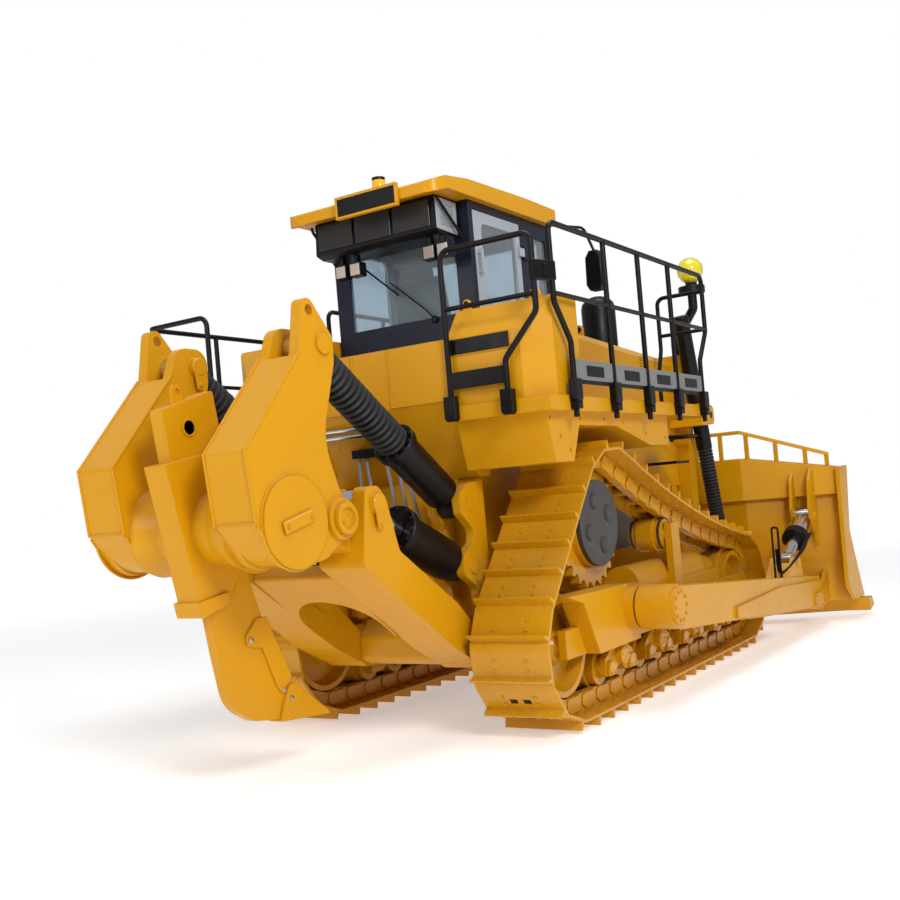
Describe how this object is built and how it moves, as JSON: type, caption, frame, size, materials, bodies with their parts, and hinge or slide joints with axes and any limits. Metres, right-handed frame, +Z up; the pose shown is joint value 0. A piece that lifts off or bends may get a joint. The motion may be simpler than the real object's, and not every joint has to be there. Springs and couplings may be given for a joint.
{
  "type": "crawler bulldozer with ripper",
  "caption": "Large crawler bulldozer with raised drive sprockets, a winged blade on push arms, a rear single-shank ripper, a glazed cab and railed walkways.",
  "frame": {"origin": "centre of the bounding box at ground level, under the grouser tips", "axes": "+X forward, +Y to the machine's left, +Z up"},
  "size_m": [9.848, 4.88, 4.91],
  "materials": {
    "yellow_paint": "gloss machine enamel",
    "black_paint": "satin black enamel",
    "dark_grey_paint": "satin dark grey enamel",
    "cab_paint": "satin dark blue-grey enamel",
    "cylinder_steel": "polished hydraulic rod",
    "pin_steel": "machined",
    "cast_iron": "as cast",
    "interior": "textured trim and fabric seat",
    "glass": "tinted"
  },
  "bodies": {
    "root": {"ac_unit": "black_paint", "bogies_left": "yellow_paint", "bogies_right": "yellow_paint", "cab_glass": "glass", "cab_interior": "interior", "cab_roof": "yellow_paint", "cab_shell": "cab_paint", "drive_covers": "dark_grey_paint", "engine_block": "cast_iron", "fender_left": "yellow_paint", "fender_right": "yellow_paint", "final_drive_left": "yellow_paint", "final_drive_right": "yellow_paint", "front_grille": "yellow_paint", "fuel_tank": "yellow_paint", "handrails_left": "black_paint", "handrails_right": "black_paint", "hood": "yellow_paint", "idlers_left": "yellow_paint", "idlers_right": "yellow_paint", "main_frame": "yellow_paint", "precleaner": "black_paint", "radiator_guard": "yellow_paint", "rear_bracket": "yellow_paint", "roof_fittings": "black_paint", "sprocket_left": "yellow_paint", "sprocket_right": "yellow_paint", "steps": "yellow_paint", "track_frame_left": "yellow_paint", "track_frame_right": "yellow_paint", "track_left": "yellow_paint", "track_right": "yellow_paint", "track_rollers_left": "yellow_paint", "track_rollers_right": "yellow_paint", "work_lamps": "black_paint"},
    "push_arms": {"push_arm_right": "yellow_paint", "push_arm_left": "yellow_paint"},
    "blade": {"blade": "yellow_paint", "cutting_edge": "yellow_paint", "spill_guard": "yellow_paint"},
    "tilt_barrels": {"blade_tilt_barrels": "cylinder_steel"},
    "tilt_rods": {"blade_tilt_rods": "cylinder_steel"},
    "lift_barrels": {"blade_lift_barrels": "black_paint"},
    "lift_rods": {"blade_lift_rods": "cylinder_steel"},
    "ripper_link": {"ripper_link": "yellow_paint"},
    "ripper_pins": {"ripper_pins": "pin_steel"},
    "ripper_beam": {"ripper_beam": "yellow_paint", "ripper_shank": "yellow_paint", "ripper_tip": "yellow_paint", "ripper_shin": "yellow_paint"},
    "ear_pins": {"ripper_ear_pins": "pin_steel"},
    "pitch_barrels": {"ripper_pitch_barrels": "black_paint"},
    "pitch_rods": {"ripper_pitch_rods": "cylinder_steel"},
    "raise_barrels": {"ripper_raise_barrels": "black_paint"},
    "raise_rods": {"ripper_raise_rods": "cylinder_steel"},
    "door_right": {"cab_door_right": "cab_paint", "door_glass_right": "glass"},
    "door_left": {"cab_door_left": "cab_paint", "door_glass_left": "glass"}
  },
  "joints": [
    {"name": "blade_lift", "type": "hinge", "parent": "root", "child": "push_arms", "pos_m": [-1.09, 0, 0.885], "axis": [0, -1, 0], "range_deg": [-5, 13]},
    {"name": "blade_pitch", "type": "hinge", "parent": "push_arms", "child": "blade", "pos_m": [3.855, 0, 0.385], "axis": [0, -1, 0], "range_deg": [-6, 4]},
    {"name": "blade_tilt_barrel", "type": "hinge", "parent": "blade", "child": "tilt_barrels", "pos_m": [3.75, 0, 1.37], "axis": [0, -1, 0], "range_deg": [-2.8, 4.2]},
    {"name": "blade_tilt_rod", "type": "slide", "parent": "tilt_barrels", "child": "tilt_rods", "axis": [-0.8935, 0, -0.4491], "range_m": [-0.066, 0.098]},
    {"name": "blade_lift_barrel", "type": "hinge", "parent": "root", "child": "lift_barrels", "pos_m": [2.825, 0, 2.73], "axis": [0, -1, 0], "range_deg": [-3.4, 8.7]},
    {"name": "blade_lift_rod", "type": "slide", "parent": "lift_barrels", "child": "lift_rods", "axis": [0.2674, 0, -0.9636], "range_m": [-0.976, 0.376]},
    {"name": "ripper_lift", "type": "hinge", "parent": "root", "child": "ripper_link", "pos_m": [-2.239, 0, 0.69], "axis": [0, -1, 0], "range_deg": [-6, 38]},
    {"name": "ripper_level", "type": "hinge", "parent": "ripper_link", "child": "ripper_pins", "pos_m": [-4.005, 0, 1.91], "axis": [0, -1, 0], "range_deg": [-38.1, 6.1]},
    {"name": "ripper_tilt", "type": "hinge", "parent": "ripper_pins", "child": "ripper_beam", "pos_m": [-4.005, 0, 1.91], "axis": [0, -1, 0], "range_deg": [-10, 10]},
    {"name": "ripper_pitch_base", "type": "hinge", "parent": "root", "child": "ear_pins", "pos_m": [-2.275, 0, 1.93], "axis": [0, -1, 0], "range_deg": [-6.1, 38.1]},
    {"name": "ripper_pitch_barrel", "type": "hinge", "parent": "ear_pins", "child": "pitch_barrels", "pos_m": [-2.275, 0, 1.93], "axis": [0, -1, 0], "range_deg": [-3.6, 3.6]},
    {"name": "ripper_pitch_rod", "type": "slide", "parent": "pitch_barrels", "child": "pitch_rods", "axis": [-0.8228, 0, 0.5684], "range_m": [-0.176, 0.176]},
    {"name": "ripper_raise_barrel", "type": "hinge", "parent": "root", "child": "raise_barrels", "pos_m": [-2.285, 0, 1.4], "axis": [0, -1, 0], "range_deg": [-6.7, 41.7]},
    {"name": "ripper_raise_rod", "type": "slide", "parent": "raise_barrels", "child": "raise_rods", "axis": [-0.9124, 0, 0.4093], "range_m": [-0.073, 0.456]},
    {"name": "door_right_hinge", "type": "hinge", "parent": "root", "child": "door_right", "pos_m": [-0.919, -0.788, 3.05], "axis": [0, 0, 1], "range_deg": [0, 90]},
    {"name": "door_left_hinge", "type": "hinge", "parent": "root", "child": "door_left", "pos_m": [-0.919, 0.788, 3.05], "axis": [0, 0, -1], "range_deg": [0, 90]}
  ],
  "couplings": [
    {"joint": "blade_tilt_barrel", "follows": "blade_pitch", "ratio": -0.66736},
    {"joint": "blade_tilt_rod", "follows": "blade_pitch", "m_per_rad": -0.9212},
    {"joint": "blade_lift_barrel", "follows": "blade_lift", "ratio": 0.65826},
    {"joint": "blade_lift_rod", "follows": "blade_lift", "m_per_rad": -4.2938},
    {"joint": "ripper_level", "follows": "ripper_lift", "ratio": -1},
    {"joint": "ripper_pitch_base", "follows": "ripper_lift", "ratio": 1},
    {"joint": "ripper_pitch_barrel", "follows": "ripper_tilt", "ratio": 0.34127},
    {"joint": "ripper_pitch_rod", "follows": "ripper_tilt", "m_per_rad": 0.99872},
    {"joint": "ripper_raise_barrel", "follows": "ripper_lift", "ratio": 1.0926},
    {"joint": "ripper_raise_rod", "follows": "ripper_lift", "m_per_rad": 0.68586}
  ]
}
